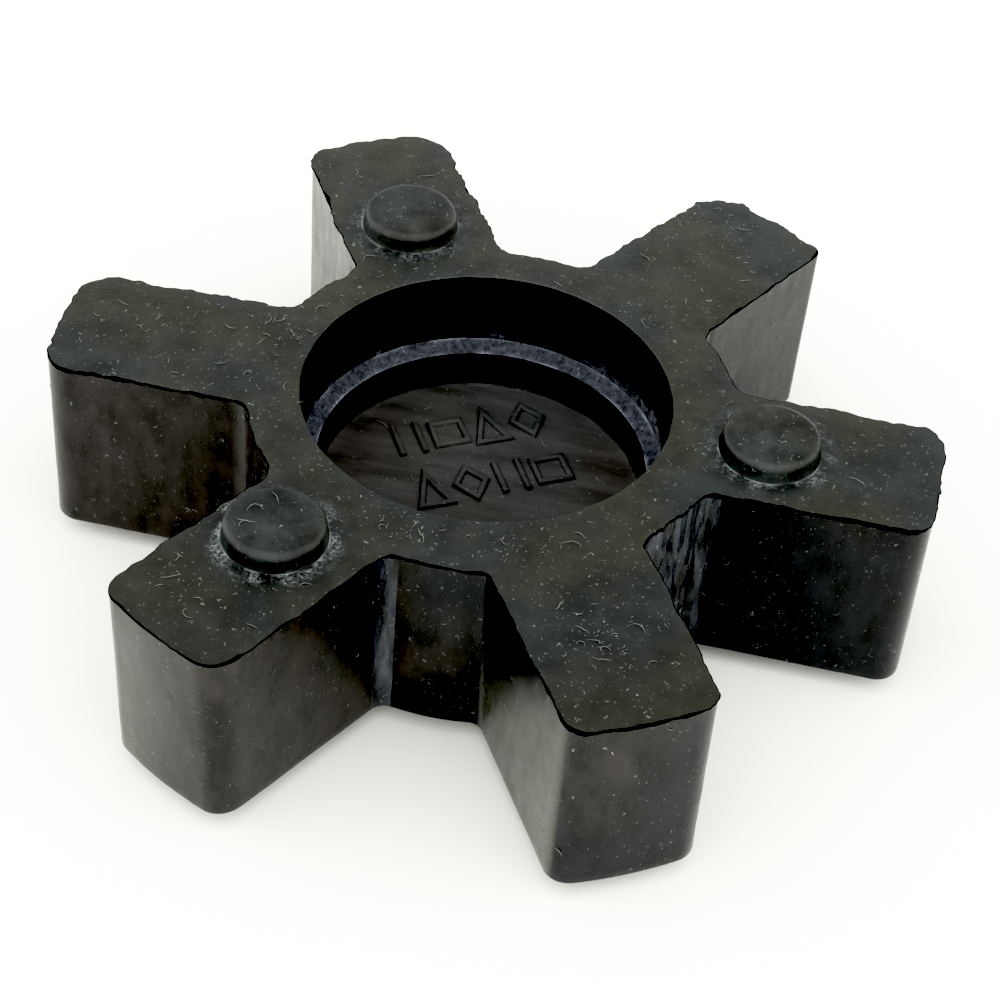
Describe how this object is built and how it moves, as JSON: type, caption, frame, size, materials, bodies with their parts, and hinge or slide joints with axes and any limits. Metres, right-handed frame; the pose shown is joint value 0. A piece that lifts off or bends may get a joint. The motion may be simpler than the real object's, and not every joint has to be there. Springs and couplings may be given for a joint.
{
  "type": "jaw coupling insert",
  "caption": "Flexible rubber insert of a jaw coupling: radial legs round a hub ring with recesses and a thin web, to cushion torque between two hubs.",
  "frame": {"origin": "on the coupling's axis, in the plane of the flat ends of the lower nubs, which the insert rests on", "axes": "+Z along the coupling's axis and up; +X along a leg that has an upper nub; the legs follow at sixty degrees"},
  "size_m": [0.064, 0.0592, 0.018],
  "materials": {
    "spider": "matt"
  },
  "bodies": {
    "root": {"spider": "spider"}
  },
  "joints": []
}
